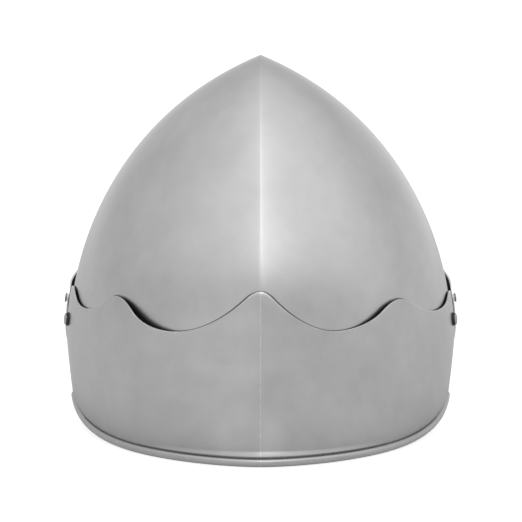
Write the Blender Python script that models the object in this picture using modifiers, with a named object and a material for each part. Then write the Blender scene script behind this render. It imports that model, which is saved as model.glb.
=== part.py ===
"""A steel sallet: a pointed skull with a medial ridge, a pivoting visor and one neck lame.

Metres, +Z up. The face looks toward -Y and the tail toward +Y. The helmet stands on the cheek edges of its
skull at z = 0, and y = 0 is the plane of the visor's pivots.
"""
import math

import bmesh
import bpy
import numpy as np
from mathutils import Vector

# Plate and clearances
PLATE = 0.0012
LAME_GAP = 0.0004
VISOR_GAP = 0.0015
SEAT_GAP = 0.0003
HEAD_GAP = 0.0008
HOLE_GAP = 0.0004
FACET_GAP = 0.0007

# Skull
HALF_WIDTH = 0.1048
ARCH_RADIUS = 0.1722
SPRING_HEIGHT = 0.0420
APEX_Y = 0.024
FRONT_REACH = 0.1435
BACK_REACH = 0.1042
FACE_TOP = 0.0760
CHEEK_FRONT = -0.062
CHEEK_REAR = -0.012
CHEEK_CORNER = 0.018
CHEEK_FOOT_CORNER = 0.015
NAPE_HEIGHT = 0.0500
NAPE_RUN = 0.054
ROUND_HIGH = 0.10
ROUND_LOW = 0.32
ROUND_FROM_HEIGHT = 0.1320
ROUND_RUN = 0.080

# Ridge seen from the side: an angle about the pivot's height, and how far the front and the back reach there
RIDGE_COLUMNS = ("degrees", "front", "back")
RIDGE_ROWS = (
    (0, 1.000, 1.000),
    (7, 1.000, 0.983),
    (10, 1.000, 0.974),
    (16, 0.998, 0.946),
    (20.5, 0.996, 0.915),
    (30, 0.988, 0.857),
    (40, 0.969, 0.822),
    (49, 0.926, 0.801),
    (57, 0.853, 0.792),
    (65, 0.767, 0.787),
    (73, 0.697, 0.787),
    (80, 0.641, 0.790),
    (90, 0.613, 0.800),
)

# Visor
PIVOT_HEIGHT = 0.0650
LOBE_RADIUS = 0.0105
LOBE_DROP = 0.0250
LOBE_FIRST_DEGREES = 12
BROW_HEIGHT = 0.0930
BROW_POINT = 0.005
BROW_POINT_SHARE = 0.14
PROW_FOOT = 0.0080
PROW_REACH = 0.0235
PROW_POWER = 0.9
SIGHT_BOTTOM = 0.0595
SIGHT_HEIGHT = 0.0085
SIGHT_INNER = 0.010
SIGHT_REAR = -0.070

# Neck lame
LAME_PIVOT_Y = 0.027
LAME_PIVOT_HEIGHT = 0.0577
LAME_FRONT = 0.0155
WAVE_CREST = 0.0875
WAVE_TROUGH = 0.0656
WAVE_SIDE_CREST = 0.0787
WAVE_END_TROUGH = 0.0680
WAVE_END_CREST = 0.0750
FLARE = 0.0125
FLARE_POWER = 1.3
WAIST_NARROWING = 0.0048
WAIST_POWER = 1.25
ROUND_RIM = 0.68
ROLL_RADIUS = 0.0017
ROLL_INSET = 0.0007
ROLL_BEND = 0.0048
ROLL_BEND_STEPS = (0.35, 0.70)
ROLL_BEND_DROP = 0.9
ROLL_TURN = 270
ROLL_CLEARANCE = 0.0002
RIM_RISE = 0.0134
RIM_LEVEL_FROM = 0.115
RIM_RISE_RUN = 0.105
RIM_RISE_POWER = 2.3
STAND_OFF = 0.0030
STAND_OFF_DEGREES = 30
STAND_OFF_SPREAD = 15
STAND_OFF_POWER = 1.5

# The wavy edge: degrees round from the back, the height there, and the trough's share of the run to the
# next row
WAVE_COLUMNS = ("degrees", "height", "trough_share")
WAVE_ROWS = (
    (0, WAVE_CREST, 0.83),
    (20.4, WAVE_TROUGH, 0.64),
    (40.7, WAVE_SIDE_CREST, 0.77),
    (60, WAVE_END_TROUGH, 0.60),
    (77, WAVE_END_CREST, 0.60),
    (95, WAVE_END_TROUGH, 0.60),
)

# Rivets
PIVOT_HEAD_RADIUS = 0.0028
PIVOT_HEAD_HEIGHT = 0.0010
LAME_HEAD_RADIUS = 0.0033
LAME_HEAD_HEIGHT = 0.0013
SHANK_RADIUS = 0.0020
PEEN_RADIUS = 0.0032
PEEN_HEIGHT = 0.0012
PEEN_FLAT = 0.8
WASHER_RADIUS = 0.0037
WASHER_THICKNESS = 0.0009

# Facets
SKULL_COLUMNS = 28
SKULL_LEVELS = 18
LAME_COLUMNS = 27
LAME_LEVELS = 8
ROLL_STEPS = 7
VISOR_COLUMNS = 20
VISOR_LEVELS = 8
LOBE_COLUMNS = 5
RIVET_SIDES = 14
DOME_STEPS = 4
CORNER_STEPS = 6
NAPE_STEPS = 8
LEVEL_POWER = 1.6
# The rim's height and its reach depend on each other, so they are worked out this often
RIM_ROUNDS = 3

MERGE = 0.00002
BEYOND = 0.02
ARCH_OFFSET = ARCH_RADIUS - HALF_WIDTH
APEX_HEIGHT = SPRING_HEIGHT + math.sqrt(ARCH_RADIUS**2 - ARCH_OFFSET**2)
RIDGE_RISE = APEX_HEIGHT - PIVOT_HEIGHT
ROLL_HEIGHT = ROLL_RADIUS + PLATE / 2 + ROLL_CLEARANCE


def ease(share):
    """A smooth step from 0 to 1: 3 s squared minus 2 s cubed."""
    share = np.clip(share, 0.0, 1.0)
    return share * share * (3 - 2 * share)


def column(rows, names, name):
    """One named column of a table, as an array."""
    return np.array([row[names.index(name)] for row in rows], dtype=float)


def skull_half_width(height):
    """Outer half width: a pointed arch of two arcs above the springing line, drawn in below the waist."""
    rise = np.clip(height - SPRING_HEIGHT, 0.0, APEX_HEIGHT - SPRING_HEIGHT)
    arch = np.sqrt(ARCH_RADIUS**2 - rise**2) - ARCH_OFFSET
    return np.maximum(arch, 0.0) - WAIST_NARROWING * waist_drop(height) ** WAIST_POWER


def waist_drop(height):
    """How far below the waist a height lies, from 0 there to 1 at the rolled rim."""
    return np.clip((NAPE_HEIGHT - height) / (NAPE_HEIGHT - ROLL_HEIGHT), 0.0, None)


def ridge_reach(height):
    """How far the ridge reaches to the front and the back of y = 0, from the table of rows."""
    share = np.clip((height - PIVOT_HEIGHT) / RIDGE_RISE, 0.0, 1.0)
    degrees = np.degrees(np.arcsin(share))
    at, front_share, back_share = (column(RIDGE_ROWS, RIDGE_COLUMNS, name) for name in RIDGE_COLUMNS)
    front = FRONT_REACH * np.interp(degrees, at, front_share)
    back = BACK_REACH * np.interp(degrees, at, back_share)
    fall = np.cos(np.radians(degrees))
    return front * fall - APEX_Y, back * fall + APEX_Y


def skull_roundness(height):
    """How much of an ellipse is in the pointed plan: more near the edge, where the ridge softens."""
    return ROUND_HIGH + (ROUND_LOW - ROUND_HIGH) * ease((ROUND_FROM_HEIGHT - height) / ROUND_RUN)


def plan_point(angle, half_width, front, back, roundness):
    """A point of the plan: a pointed lens mixed with an ellipse; the angle runs from front to back."""
    middle = (back - front) / 2
    half_length = (back + front) / 2
    along = half_length * np.sin(angle)
    wide = np.maximum(half_width, 1e-6)
    radius = (wide**2 + half_length**2) / (2 * wide)
    lens = np.sqrt(np.maximum(radius**2 - along**2, 0.0)) - (radius - wide)
    ellipse = wide * np.cos(angle)
    return (1 - roundness) * lens + roundness * ellipse, middle + along


def skull_point(angle, height, offset=0.0):
    """A point of the skull's outer surface, or of the surface that lies outside it by the offset."""
    front, back = ridge_reach(height)
    x, y = plan_point(
        angle, skull_half_width(height) + offset, front + offset, back + offset, skull_roundness(height)
    )
    return x, y


def lame_plan(height, offset):
    """Half width, reaches and roundness of the lame: the skull's above its waist, then a flared tail."""
    front, back = ridge_reach(height)
    drop = waist_drop(height)
    flare = drop**FLARE_POWER
    half_width = skull_half_width(height) + offset
    back = back + offset + FLARE * flare
    front = front + offset
    front = front + (back - front) * np.clip(flare, 0.0, 1.0)
    roundness = skull_roundness(height) + (ROUND_RIM - ROUND_LOW) * np.clip(drop, 0.0, 1.0)
    return half_width, front, back, roundness


def visor_plan(height, offset):
    """Half width and reaches of the visor: over the brow it turns about the pivot, below it is a prow."""
    front, back = ridge_reach(height)
    drop = np.clip((PIVOT_HEIGHT - height) / (PIVOT_HEIGHT - PROW_FOOT), 0.0, None)
    prow = PROW_REACH * np.sin(np.clip(drop, 0.0, 1.0) * math.pi / 2) ** PROW_POWER
    return skull_half_width(height) + offset, front + offset + prow, back + offset


def wave_height(degrees):
    """Height of the wavy edge: from each trough a parabola rises, which a second one rounds off at the crest.

    With m the trough's share of the run, the first is s squared over m and the second is
    1 - (1 - s) squared over 1 - m.
    """
    at, heights, trough_shares = (column(WAVE_ROWS, WAVE_COLUMNS, name) for name in WAVE_COLUMNS)
    position = np.interp(degrees, at, np.arange(len(at)))
    left = np.clip(np.floor(position), 0, len(at) - 2).astype(int)
    share = position - left
    start = heights[left]
    end = heights[left + 1]
    trough = trough_shares[left]
    rise = np.where(start > end, 1 - share, share)
    lift = np.where(rise < trough, rise**2 / trough, 1 - (1 - rise) ** 2 / (1 - trough))
    return np.minimum(start, end) + np.abs(end - start) * lift


def rim_height(along):
    """Height of the middle of the rolled rim: level round the tail, rising toward the lame's front ends."""
    share = np.clip((RIM_LEVEL_FROM - along) / RIM_RISE_RUN, 0.0, None)
    return ROLL_HEIGHT + RIM_RISE * share**RIM_RISE_POWER


def new_collection(name):
    collection = bpy.data.collections.new(name)
    bpy.context.scene.collection.children.link(collection)
    return collection


def new_material(name, colour, metallic, roughness):
    material = bpy.data.materials.new(name)
    material.use_nodes = True
    shader = material.node_tree.nodes["Principled BSDF"]
    shader.inputs["Base Color"].default_value = (*colour, 1.0)
    shader.inputs["Metallic"].default_value = metallic
    shader.inputs["Roughness"].default_value = roughness
    return material


def new_object(name, bm, collection, origin=(0, 0, 0)):
    """Makes an object of a bmesh whose points are in world space, with its origin at the given point."""
    bmesh.ops.translate(bm, verts=bm.verts, vec=-Vector(origin))
    mesh = bpy.data.meshes.new(name)
    bm.to_mesh(mesh)
    bm.free()
    obj = bpy.data.objects.new(name, mesh)
    obj.location = origin
    collection.objects.link(obj)
    return obj


def grid_surface(points):
    """A bmesh of quads over an array of points, rows by columns; faces look along columns x rows."""
    bm = bmesh.new()
    rows, columns = points.shape[:2]
    verts = [[bm.verts.new(points[r, c]) for c in range(columns)] for r in range(rows)]
    for r in range(rows - 1):
        for c in range(columns - 1):
            bm.faces.new((verts[r][c], verts[r][c + 1], verts[r + 1][c + 1], verts[r + 1][c]))
    bmesh.ops.remove_doubles(bm, verts=bm.verts, dist=MERGE)
    bmesh.ops.dissolve_degenerate(bm, edges=bm.edges, dist=MERGE)
    return bm


def add_plate(obj, side):
    """Mirrors a half surface across the ridge and thickens it to a plate; side -1 is inward, 0 both."""
    mirror = obj.modifiers.new("other half", "MIRROR")
    mirror.merge_threshold = MERGE
    solidify = obj.modifiers.new("plate", "SOLIDIFY")
    solidify.thickness = PLATE
    solidify.offset = side
    solidify.use_even_offset = True
    solidify.use_quality_normals = True


def cut(obj, cutter):
    boolean = obj.modifiers.new(cutter.name, "BOOLEAN")
    boolean.operation = "DIFFERENCE"
    boolean.solver = "EXACT"
    boolean.object = cutter


def finish_cutter(obj):
    obj.hide_render = True
    obj.display_type = "WIRE"
    return obj


def side_cutter(name, outline, collection):
    """A prism right across the helmet, whose outline is seen from the side as (y, z) points."""
    bm = bmesh.new()
    reach = HALF_WIDTH + BEYOND
    face = bm.faces.new([bm.verts.new((-reach, y, z)) for y, z in outline])
    extruded = bmesh.ops.extrude_face_region(bm, geom=[face])["geom"]
    moved = [v for v in extruded if isinstance(v, bmesh.types.BMVert)]
    bmesh.ops.translate(bm, verts=moved, vec=(2 * reach, 0, 0))
    bmesh.ops.recalc_face_normals(bm, faces=bm.faces)
    return finish_cutter(new_object(name, bm, collection))


def box_cutter(name, low, high, collection):
    bm = bmesh.new()
    bmesh.ops.create_cube(bm, size=1.0)
    size = Vector(high) - Vector(low)
    bmesh.ops.scale(bm, verts=bm.verts, vec=size)
    bmesh.ops.translate(bm, verts=bm.verts, vec=(Vector(high) + Vector(low)) / 2)
    return finish_cutter(new_object(name, bm, collection))


def hole_cutter(name, seat, normal, collection):
    """A round cutter through a seat, along the surface's normal."""
    bm = bmesh.new()
    bmesh.ops.create_cone(
        bm, cap_ends=True, segments=RIVET_SIDES, radius1=SHANK_RADIUS + HOLE_GAP,
        radius2=SHANK_RADIUS + HOLE_GAP, depth=2 * BEYOND,
    )
    obj = new_object(name, bm, collection)
    obj.location = seat
    obj.rotation_euler = normal.to_track_quat("Z", "Y").to_euler()
    return finish_cutter(obj)


def turned_piece(name, profile, seat, normal, collection):
    """Turns a profile of (radius, height) rows, from the top down its outer side, about the normal."""
    bm = bmesh.new()
    verts = [bm.verts.new((radius, 0, height)) for radius, height in profile]
    for upper, lower in zip(verts, verts[1:]):
        bm.edges.new((upper, lower))
    obj = new_object(name, bm, collection)
    screw = obj.modifiers.new("turned", "SCREW")
    screw.steps = RIVET_SIDES
    screw.render_steps = RIVET_SIDES
    screw.use_merge_vertices = True
    screw.merge_threshold = MERGE
    screw.use_smooth_shade = True
    obj.location = seat
    obj.rotation_euler = normal.to_track_quat("Z", "Y").to_euler()
    return obj


def dome_rows(radius, height):
    """The upper side of a domed head, from its crown to its edge: a quarter of an ellipse."""
    angles = [math.pi / 2 * step / DOME_STEPS for step in range(DOME_STEPS + 1)]
    return [(radius * math.sin(angle), height * math.cos(angle)) for angle in angles]


def rivet_profile(head_radius, head_height, grip):
    """Domed head above zero, a shank through the plates, and a hammered end beyond the grip."""
    rows = dome_rows(head_radius, head_height)
    rows += [(SHANK_RADIUS, 0.0), (SHANK_RADIUS, -grip), (PEEN_RADIUS, -grip)]
    rows += [(PEEN_RADIUS * PEEN_FLAT, -grip - PEEN_HEIGHT * PEEN_FLAT), (0.0, -grip - PEEN_HEIGHT)]
    return rows


def washer_profile():
    inner = SHANK_RADIUS + HOLE_GAP
    return [
        (inner, WASHER_THICKNESS), (WASHER_RADIUS, WASHER_THICKNESS), (WASHER_RADIUS, 0.0), (inner, 0.0),
        (inner, WASHER_THICKNESS),
    ]


def side_seat(along, height, offset):
    """The point outside the skull's side at a place along y and height, and the normal there."""
    def surface(y, z):
        front, back = ridge_reach(z)
        angle = np.arcsin((y - (back - front) / 2) / ((back + front) / 2))
        x, _ = skull_point(angle, z)
        return float(x)
    step = 0.001
    slope_y = (surface(along + step, height) - surface(along - step, height)) / (2 * step)
    slope_z = (surface(along, height + step) - surface(along, height - step)) / (2 * step)
    normal = Vector((1.0, -slope_y, -slope_z)).normalized()
    return Vector((surface(along, height), along, height)) + normal * offset, normal


def mirrored(vector):
    return Vector((-vector.x, vector.y, vector.z))


def build_skull(collection, cutters, seats):
    angle = np.linspace(-math.pi / 2, math.pi / 2, SKULL_COLUMNS + 1)
    share = np.linspace(1.0, 0.0, SKULL_LEVELS + 1)
    foot = -BEYOND / 4
    height = APEX_HEIGHT - (APEX_HEIGHT - foot) * share**LEVEL_POWER
    angle, height = np.meshgrid(angle, height)
    x, y = skull_point(angle, height)
    x[:, 0] = 0.0
    x[:, -1] = 0.0
    x[-1] = 0.0
    y[-1] = APEX_Y
    skull = new_object("skull", grid_surface(np.stack((x, y, height), axis=-1)), collection)
    add_plate(skull, -1)

    far = FRONT_REACH + BEYOND
    turn = np.linspace(math.pi / 2, 0.0, CORNER_STEPS + 1)
    corner_y = CHEEK_FRONT - CHEEK_CORNER + CHEEK_CORNER * np.cos(turn)
    corner_z = FACE_TOP - CHEEK_CORNER + CHEEK_CORNER * np.sin(turn)
    foot_y = CHEEK_FRONT + CHEEK_FOOT_CORNER - CHEEK_FOOT_CORNER * np.sin(turn[::-1] + math.pi / 2)
    foot_z = CHEEK_FOOT_CORNER - CHEEK_FOOT_CORNER * np.sin(turn[::-1])
    face = [(-far, FACE_TOP)] + list(zip(corner_y, corner_z)) + list(zip(foot_y, foot_z))
    face += [(CHEEK_FRONT + CHEEK_FOOT_CORNER, -BEYOND), (-far, -BEYOND)]
    cut(skull, side_cutter("face_opening", face, cutters))

    run = np.linspace(0.0, 1.0, NAPE_STEPS + 1)
    nape = list(zip(CHEEK_REAR + NAPE_RUN * run, NAPE_HEIGHT * ease(run)))
    nape += [(far, NAPE_HEIGHT), (far, -BEYOND), (CHEEK_REAR, -BEYOND)]
    cut(skull, side_cutter("nape_opening", nape, cutters))
    cut(skull, box_cutter("floor_cut", (-far, -far, -BEYOND), (far, far, 0.0), cutters))
    for name, seat, normal in seats:
        cut(skull, bpy.data.objects[name + "_hole"])
    return skull


def build_neck_lame(collection, seats):
    offset = LAME_GAP + PLATE / 2
    share = np.linspace(0.0, 1.0, LAME_COLUMNS + 1)[None, :]

    def plan(height):
        """Points of the lame at each column, from the front end to the ridge, for heights in rows."""
        half_width, front, back, roundness = lame_plan(height, offset)
        first = np.arcsin((LAME_FRONT - (back - front) / 2) / ((back + front) / 2))
        angle = first + (math.pi / 2 - first) * share
        x, y = plan_point(angle, half_width, front, back, roundness)
        return np.where(share >= 1.0, 0.0, x), y

    x, y = plan(np.full_like(share, WAVE_TROUGH))
    degrees = np.degrees(np.arctan2(x, y))
    top = wave_height(degrees)
    for _ in range(RIM_ROUNDS):
        _, rim_y = plan(rim_height(y))
        y = rim_y
    centre = rim_height(y)
    bend_top = centre + ROLL_BEND

    down = np.linspace(0.0, 1.0, LAME_LEVELS + 1)[:, None]
    height = top + (bend_top - top) * down
    bump = np.cos(np.clip((degrees - STAND_OFF_DEGREES) / STAND_OFF_SPREAD, -1, 1) * math.pi / 2) ** 2
    x, y = plan(height)
    lift = STAND_OFF * bump * (1 - down) ** STAND_OFF_POWER
    radial = np.maximum(np.hypot(x, y), 1e-6)
    wall = np.stack((x + lift * x / radial, y + lift * y / radial, height), axis=-1)

    x, y = plan(centre)
    tangent = np.stack((np.gradient(x[0]), np.gradient(y[0])), axis=-1)
    tangent /= np.linalg.norm(tangent, axis=-1, keepdims=True)
    outward = np.stack((tangent[:, 1], -tangent[:, 0], np.zeros(share.size)), axis=-1)
    outward[-1] = (0.0, 1.0, 0.0)
    line = np.stack((x[0], y[0], centre[0]), axis=-1)
    middle = line - outward * ROLL_INSET
    upward = np.array((0.0, 0.0, 1.0))
    inset = ROLL_INSET + ROLL_RADIUS
    bend = [
        line - outward * inset * float(ease(step)) + upward * ROLL_BEND * (1 - step) * ROLL_BEND_DROP
        for step in ROLL_BEND_STEPS
    ]
    turns = np.radians(np.linspace(0, ROLL_TURN, ROLL_STEPS + 1))
    roll = [middle - outward * ROLL_RADIUS * math.cos(t) - upward * ROLL_RADIUS * math.sin(t) for t in turns]
    points = np.concatenate((wall, np.array(bend), np.array(roll)))[::-1]
    origin = (0.0, LAME_PIVOT_Y, LAME_PIVOT_HEIGHT)
    lame = new_object("neck_lame", grid_surface(points), collection, origin)
    add_plate(lame, 0)
    for name, seat, normal in seats:
        if name.startswith("lame_rivet"):
            cut(lame, bpy.data.objects[name + "_hole"])
    return lame


def build_visor(collection, cutters, seats):
    offset = VISOR_GAP + PLATE / 2
    half_width, front, back = visor_plan(PIVOT_HEIGHT, offset)
    middle = (back - front) / 2
    half_length = (back + front) / 2
    lobe = LOBE_RADIUS * np.cos(np.radians(np.linspace(LOBE_FIRST_DEGREES, 90, LOBE_COLUMNS + 1)))
    lobe_angle = np.arcsin((lobe - middle) / half_length)
    angle = np.concatenate((lobe_angle, np.linspace(lobe_angle[-1], -math.pi / 2, VISOR_COLUMNS + 1)[1:]))
    along = middle + half_length * np.sin(angle)
    forward = np.clip(-along / front, 0.0, 1.0)
    round_end = np.sqrt(np.clip(1 - np.clip(along / LOBE_RADIUS, 0.0, 1.0) ** 2, 0.0, 1.0))
    point = BROW_POINT * ease(1 - (1 - forward) / BROW_POINT_SHARE)
    brow = (BROW_HEIGHT - PIVOT_HEIGHT - LOBE_RADIUS) * forward + point
    upper = PIVOT_HEIGHT + LOBE_RADIUS * round_end + brow
    foot_drop = (PIVOT_HEIGHT - LOBE_DROP - PROW_FOOT) * np.sin(forward * math.pi / 2)
    lower = PIVOT_HEIGHT - LOBE_DROP * round_end - foot_drop
    up = np.linspace(0.0, 1.0, VISOR_LEVELS + 1)[:, None]
    height = lower + (upper - lower) * up
    half_width, front, back = visor_plan(height, offset)
    x, y = plan_point(angle[None, :], half_width, front, back, skull_roundness(height))
    x[:, -1] = 0.0
    points = np.stack((x, y, height), axis=-1)[:, ::-1]
    visor = new_object("visor", grid_surface(points), collection, (0.0, 0.0, PIVOT_HEIGHT))
    add_plate(visor, 0)
    reach = FRONT_REACH + BEYOND
    for side, name in ((1, "sight_left"), (-1, "sight_right")):
        ends = sorted((side * SIGHT_INNER, side * reach))
        low = (ends[0], -reach, SIGHT_BOTTOM)
        high = (ends[1], SIGHT_REAR, SIGHT_BOTTOM + SIGHT_HEIGHT)
        cut(visor, box_cutter(name, low, high, cutters))
    for name, seat, normal in seats:
        if name.startswith("pivot_rivet"):
            cut(visor, bpy.data.objects[name + "_hole"])
    return visor


def rivet_seats():
    """Name, skull surface point and normal for each rivet; the left ones are on +X."""
    seats = []
    for kind, along, height in (
        ("pivot_rivet", 0.0, PIVOT_HEIGHT),
        ("lame_rivet", LAME_PIVOT_Y, LAME_PIVOT_HEIGHT),
    ):
        seat, normal = side_seat(along, height, 0.0)
        seats.append((kind + "_left", seat, normal))
        seats.append((kind + "_right", mirrored(seat), mirrored(normal)))
    return seats


def build_rivets(collection, seats):
    pieces = []
    behind = PLATE + FACET_GAP
    over_visor = VISOR_GAP + PLATE + HEAD_GAP
    over_lame = LAME_GAP + PLATE + SEAT_GAP
    over_washer = over_lame + WASHER_THICKNESS + SEAT_GAP
    for name, seat, normal in seats:
        if name.startswith("pivot_rivet"):
            profile = rivet_profile(PIVOT_HEAD_RADIUS, PIVOT_HEAD_HEIGHT, over_visor + behind)
            pieces.append(turned_piece(name, profile, seat + normal * over_visor, normal, collection))
        else:
            profile = rivet_profile(LAME_HEAD_RADIUS, LAME_HEAD_HEIGHT, over_washer + behind)
            pieces.append(turned_piece(name, profile, seat + normal * over_washer, normal, collection))
            washer = name.replace("rivet", "washer")
            place = seat + normal * over_lame
            pieces.append(turned_piece(washer, washer_profile(), place, normal, collection))
    return pieces


def main():
    for obj in list(bpy.data.objects):
        bpy.data.objects.remove(obj, do_unlink=True)
    parts = new_collection("sallet")
    cutters = new_collection("sallet_cutters")
    seats = rivet_seats()
    for name, seat, normal in seats:
        hole_cutter(name + "_hole", seat, normal, cutters)
    bpy.context.view_layer.update()
    skull = build_skull(parts, cutters, seats)
    lame = build_neck_lame(parts, seats)
    visor = build_visor(parts, cutters, seats)
    finishes = (
        (skull, (0.52, 0.52, 0.53), 0.34),
        (lame, (0.48, 0.48, 0.49), 0.38),
        (visor, (0.50, 0.50, 0.51), 0.36),
    )
    for obj, colour, roughness in finishes:
        obj.data.materials.append(new_material(obj.name + "_steel", colour, 1.0, roughness))
    for obj in build_rivets(parts, seats):
        dark = "washer" in obj.name
        colour = (0.02, 0.02, 0.02) if dark else (0.45, 0.45, 0.46)
        metallic = 0.0 if dark else 1.0
        obj.data.materials.append(new_material(obj.name + "_finish", colour, metallic, 0.4))
    for obj in parts.objects:
        obj.data.shade_smooth()


main()
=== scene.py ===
"""Looks of a steel sallet: satin plates with a ridge, a wavy-edged neck lame with a faint painted highlight down its
ridge, and a pivoting visor.

Metres, +Z up, face toward -Y. The tail, which the photograph shows, is toward +Y.
"""
import math

import bpy
import numpy as np
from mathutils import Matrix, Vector


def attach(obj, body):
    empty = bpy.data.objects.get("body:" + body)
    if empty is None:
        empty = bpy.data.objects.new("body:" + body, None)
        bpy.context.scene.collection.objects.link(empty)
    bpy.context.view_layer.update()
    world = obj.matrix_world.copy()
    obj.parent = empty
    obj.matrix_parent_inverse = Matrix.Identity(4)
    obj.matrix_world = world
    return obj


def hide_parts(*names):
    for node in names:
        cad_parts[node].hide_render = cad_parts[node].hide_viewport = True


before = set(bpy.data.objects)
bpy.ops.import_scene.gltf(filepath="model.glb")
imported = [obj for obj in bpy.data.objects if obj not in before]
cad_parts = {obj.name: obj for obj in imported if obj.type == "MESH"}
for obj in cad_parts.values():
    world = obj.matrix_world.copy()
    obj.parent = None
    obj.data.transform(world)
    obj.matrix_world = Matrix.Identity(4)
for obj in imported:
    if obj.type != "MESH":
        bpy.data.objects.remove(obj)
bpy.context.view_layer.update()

# Plate and clearances, as in the frame
PLATE = 0.0012
# The visor and the lame keep their outer faces and are thinner inside, so more of the gap behind them shows
THIN_PLATE = 0.0009
LAME_GAP = 0.0004
VISOR_GAP = 0.0015
SEAT_GAP = 0.0003
HEAD_GAP = 0.0008
FACET_GAP = 0.0007
HOLE_GAP = 0.0004

# Skull
HALF_WIDTH = 0.1048
ARCH_RADIUS = 0.1722
SPRING_HEIGHT = 0.0420
APEX_Y = 0.024
FRONT_REACH = 0.1435
BACK_REACH = 0.1042
FACE_TOP = 0.0760
CHEEK_FRONT = -0.062
CHEEK_REAR = -0.012
CHEEK_CORNER = 0.018
CHEEK_FOOT_CORNER = 0.015
NAPE_HEIGHT = 0.0500
NAPE_RUN = 0.054
ROUND_HIGH = 0.10
ROUND_LOW = 0.32
ROUND_FROM_HEIGHT = 0.1320
ROUND_RUN = 0.080

# How the skull's columns fan out: the lean of the cheek's column, the share of the rise in which they spread, and
# the power by which their points crowd toward the crown
FAN_LEAN = 8
FAN_SPREAD_SHARE = 0.6
FAN_CLIMB_POWER = 1.7

# Ridge seen from the side, in rows of: degrees about the pivot's height, and the reach of the front and of the back
# there, as shares of a circle's. A bell-shaped average rounds the corners between the rows.
RIDGE_ROWS = (
    (0, 1.000, 1.000),
    (7, 1.000, 0.983),
    (10, 1.000, 0.974),
    (16, 0.998, 0.946),
    (20.5, 0.996, 0.915),
    (30, 0.988, 0.857),
    (40, 0.969, 0.822),
    (49, 0.926, 0.801),
    (57, 0.853, 0.792),
    (65, 0.767, 0.787),
    (73, 0.697, 0.787),
    (80, 0.641, 0.790),
    (90, 0.613, 0.800),
)
RIDGE_STEP = 0.5
RIDGE_MARGIN = 30.0
RIDGE_BLUR = 3.5
RIDGE_BLUR_REACH = 12.0

# Visor
PIVOT_HEIGHT = 0.0650
LOBE_RADIUS = 0.0105
LOBE_DROP = 0.0250
BROW_HEIGHT = 0.0930
BROW_POINT = 0.005
BROW_POINT_SHARE = 0.14
PROW_FOOT = 0.0080
PROW_REACH = 0.0235
PROW_POWER = 0.9
SIGHT_BOTTOM = 0.0595
SIGHT_HEIGHT = 0.0085
SIGHT_INNER = 0.010
SIGHT_REAR = -0.070

# The lobe's first column, in degrees, and the run over which the visor's rows level out to the sights' heights
LOBE_FIRST_ANGLE = 8
SIGHT_ROWS_START = 0.010
SIGHT_ROWS_RUN = 0.035

# Neck lame
LAME_PIVOT_Y = 0.027
LAME_PIVOT_HEIGHT = 0.0577
LAME_FRONT = 0.0155
WAVE_CREST = 0.0875
WAVE_TROUGH = 0.0656
FLARE = 0.0125
FLARE_POWER = 1.3
WAIST_NARROWING = 0.0048
WAIST_POWER = 1.25
ROUND_RIM = 0.68
ROLL_RADIUS = 0.0017
ROLL_INSET = 0.0007
ROLL_BEND = 0.0038
ROLL_TURN = 270
ROLL_CLEARANCE = 0.0002
RIM_RISE = 0.0134
RIM_LEVEL_FROM = 0.115
RIM_RISE_RUN = 0.105
RIM_RISE_POWER = 2.3
# The rim's height and its place along y depend on each other, so they are worked out in a few rounds
RIM_ROUNDS = 3

# The wavy edge by side, +X first: degrees round from the back, the height, and the trough's share of the run to the
# next row. The hammered edge isn't quite the same on both sides.
WAVE_ROWS = {
    1: (
        (0, WAVE_CREST, 0.83),
        (21.8, 0.0653, 0.62),
        (42.0, 0.0790, 0.77),
        (59.5, 0.0684, 0.55),
        (77, 0.0752, 0.60),
        (95, 0.0680, 0.60),
    ),
    -1: (
        (0, WAVE_CREST, 0.83),
        (19.0, 0.0659, 0.67),
        (39.3, 0.0780, 0.76),
        (60.5, 0.0672, 0.65),
        (78, 0.0722, 0.60),
        (95, 0.0680, 0.60),
    ),
}

# Where the wavy edge stands off the skull: side, degrees round from the back, spread, distance
STAND_OFF_ROWS = (
    (1, 31.0, 13.5, 0.0040),
    (1, 68.0, 13.0, 0.0006),
    (-1, 32.0, 11.5, 0.0022),
    (-1, 68.0, 13.0, 0.0006),
)
STAND_OFF_POWER = 1.5

# Rivets
PIVOT_HEAD_RADIUS = 0.0028
PIVOT_HEAD_HEIGHT = 0.0010
LAME_HEAD_RADIUS = 0.0033
LAME_HEAD_HEIGHT = 0.0013
SHANK_RADIUS = 0.0020
PEEN_RADIUS = 0.0032
PEEN_HEIGHT = 0.0012
WASHER_RADIUS = 0.0037
WASHER_THICKNESS = 0.0009
# The fine heads are a little lower than the frame's, whose corners they would pass otherwise
HEAD_TRIM = 0.00006
HEAD_LIP_SHARE = 0.1
HEAD_DOME_STEPS = 9
HEAD_FLATS = 0.012
WASHER_CORNER_SHARE = 0.3
WASHER_CORNER_STEPS = 4
SEAT_STEP = 0.001
# The hammered inner end, in rows of: shares of its radius and of its height
PEEN_ROWS = (
    (0.0, 1.0),
    (0.45, 0.96),
    (0.8, 0.76),
    (0.97, 0.35),
    (1.0, 0.0),
)

# Grid sizes
SKULL_COLUMNS = 190
SKULL_LEVELS = 108
LAME_COLUMNS = 120
LAME_LEVELS = 40
BEND_STEPS = 6
ROLL_STEPS = 18
VISOR_COLUMNS = 96
LOBE_COLUMNS = 14
VISOR_LEVELS = (20, 4, 12)
TURN_STEPS = 40
HOLE_STEPS = 32
CORNER_STEPS = 40
NAPE_STEPS = 60
EDGE_STEPS = 80
POINTS_AT_ONCE = 64

# Camera: the photograph's angle, from behind
CAMERA_ELEVATION = 8.0
CAMERA_DISTANCE = 1.6
FRAME_WIDTH = 0.2864
CAMERA_TARGET = (-0.0002, 0.0, 0.0857)
SENSOR_MM = 36.0

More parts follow.
